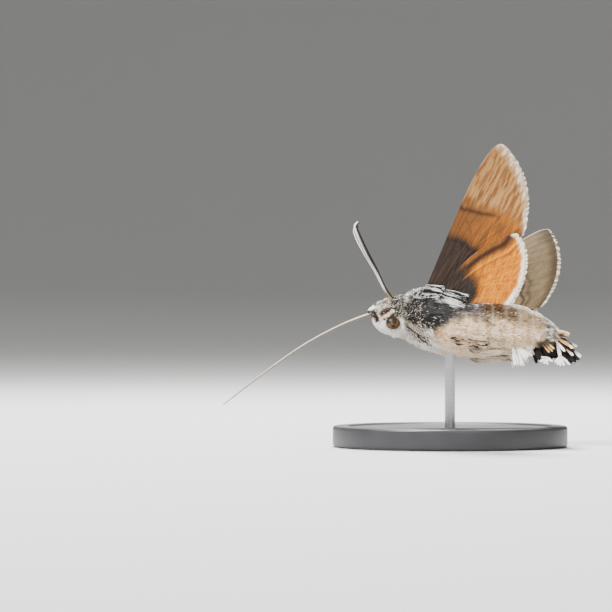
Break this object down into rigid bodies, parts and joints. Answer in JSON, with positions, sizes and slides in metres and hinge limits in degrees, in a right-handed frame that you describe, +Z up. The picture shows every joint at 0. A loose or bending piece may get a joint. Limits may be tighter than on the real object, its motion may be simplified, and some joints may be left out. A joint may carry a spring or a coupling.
{
  "type": "hummingbird hawk moth model",
  "caption": "Life-size still model of a hovering hawk moth with raised wings and a long proboscis, on a round display stand.",
  "frame": {"origin": "middle of the stand's flat underside", "axes": "+Z up from the table, +X towards the tail, +Y towards the moth's right side, which the picture's camera looks along"},
  "size_m": [0.0518, 0.034, 0.0436],
  "materials": {
    "head_fur": "short brown and cream scale fur",
    "eye": "glossy golden brown compound eye",
    "cream_fur": "pinkish cream scale fur",
    "grey_scales": "grey scales in fine rings",
    "horn": "smooth amber brown horn",
    "charcoal_fur": "charcoal scale fur flecked with cream",
    "tan_fur": "tan and beige scale fur",
    "black_scales": "black and white long scales",
    "forewing": "grey-brown wing scales with dark cross lines",
    "hindwing": "bright orange wing scales",
    "stand": "satin black",
    "steel": "brushed rod"
  },
  "bodies": {
    "root": {"head": "head_fur", "eye_left": "eye", "eye_right": "eye", "palp_left": "cream_fur", "palp_right": "cream_fur", "antenna_left": "grey_scales", "antenna_right": "grey_scales", "proboscis_upper": "horn", "proboscis_lower": "horn", "thorax": "charcoal_fur", "abdomen_front": "tan_fur", "abdomen_middle": "tan_fur", "abdomen_rear": "black_scales", "tail_fan": "black_scales", "foreleg_left": "cream_fur", "foreleg_right": "cream_fur", "midleg_left": "cream_fur", "midleg_right": "cream_fur", "hindleg_left": "cream_fur", "hindleg_right": "cream_fur", "forewing_left": "forewing", "forewing_right": "forewing", "hindwing_left": "hindwing", "hindwing_right": "hindwing", "stand_base": "stand", "stand_rod": "steel"}
  },
  "joints": []
}
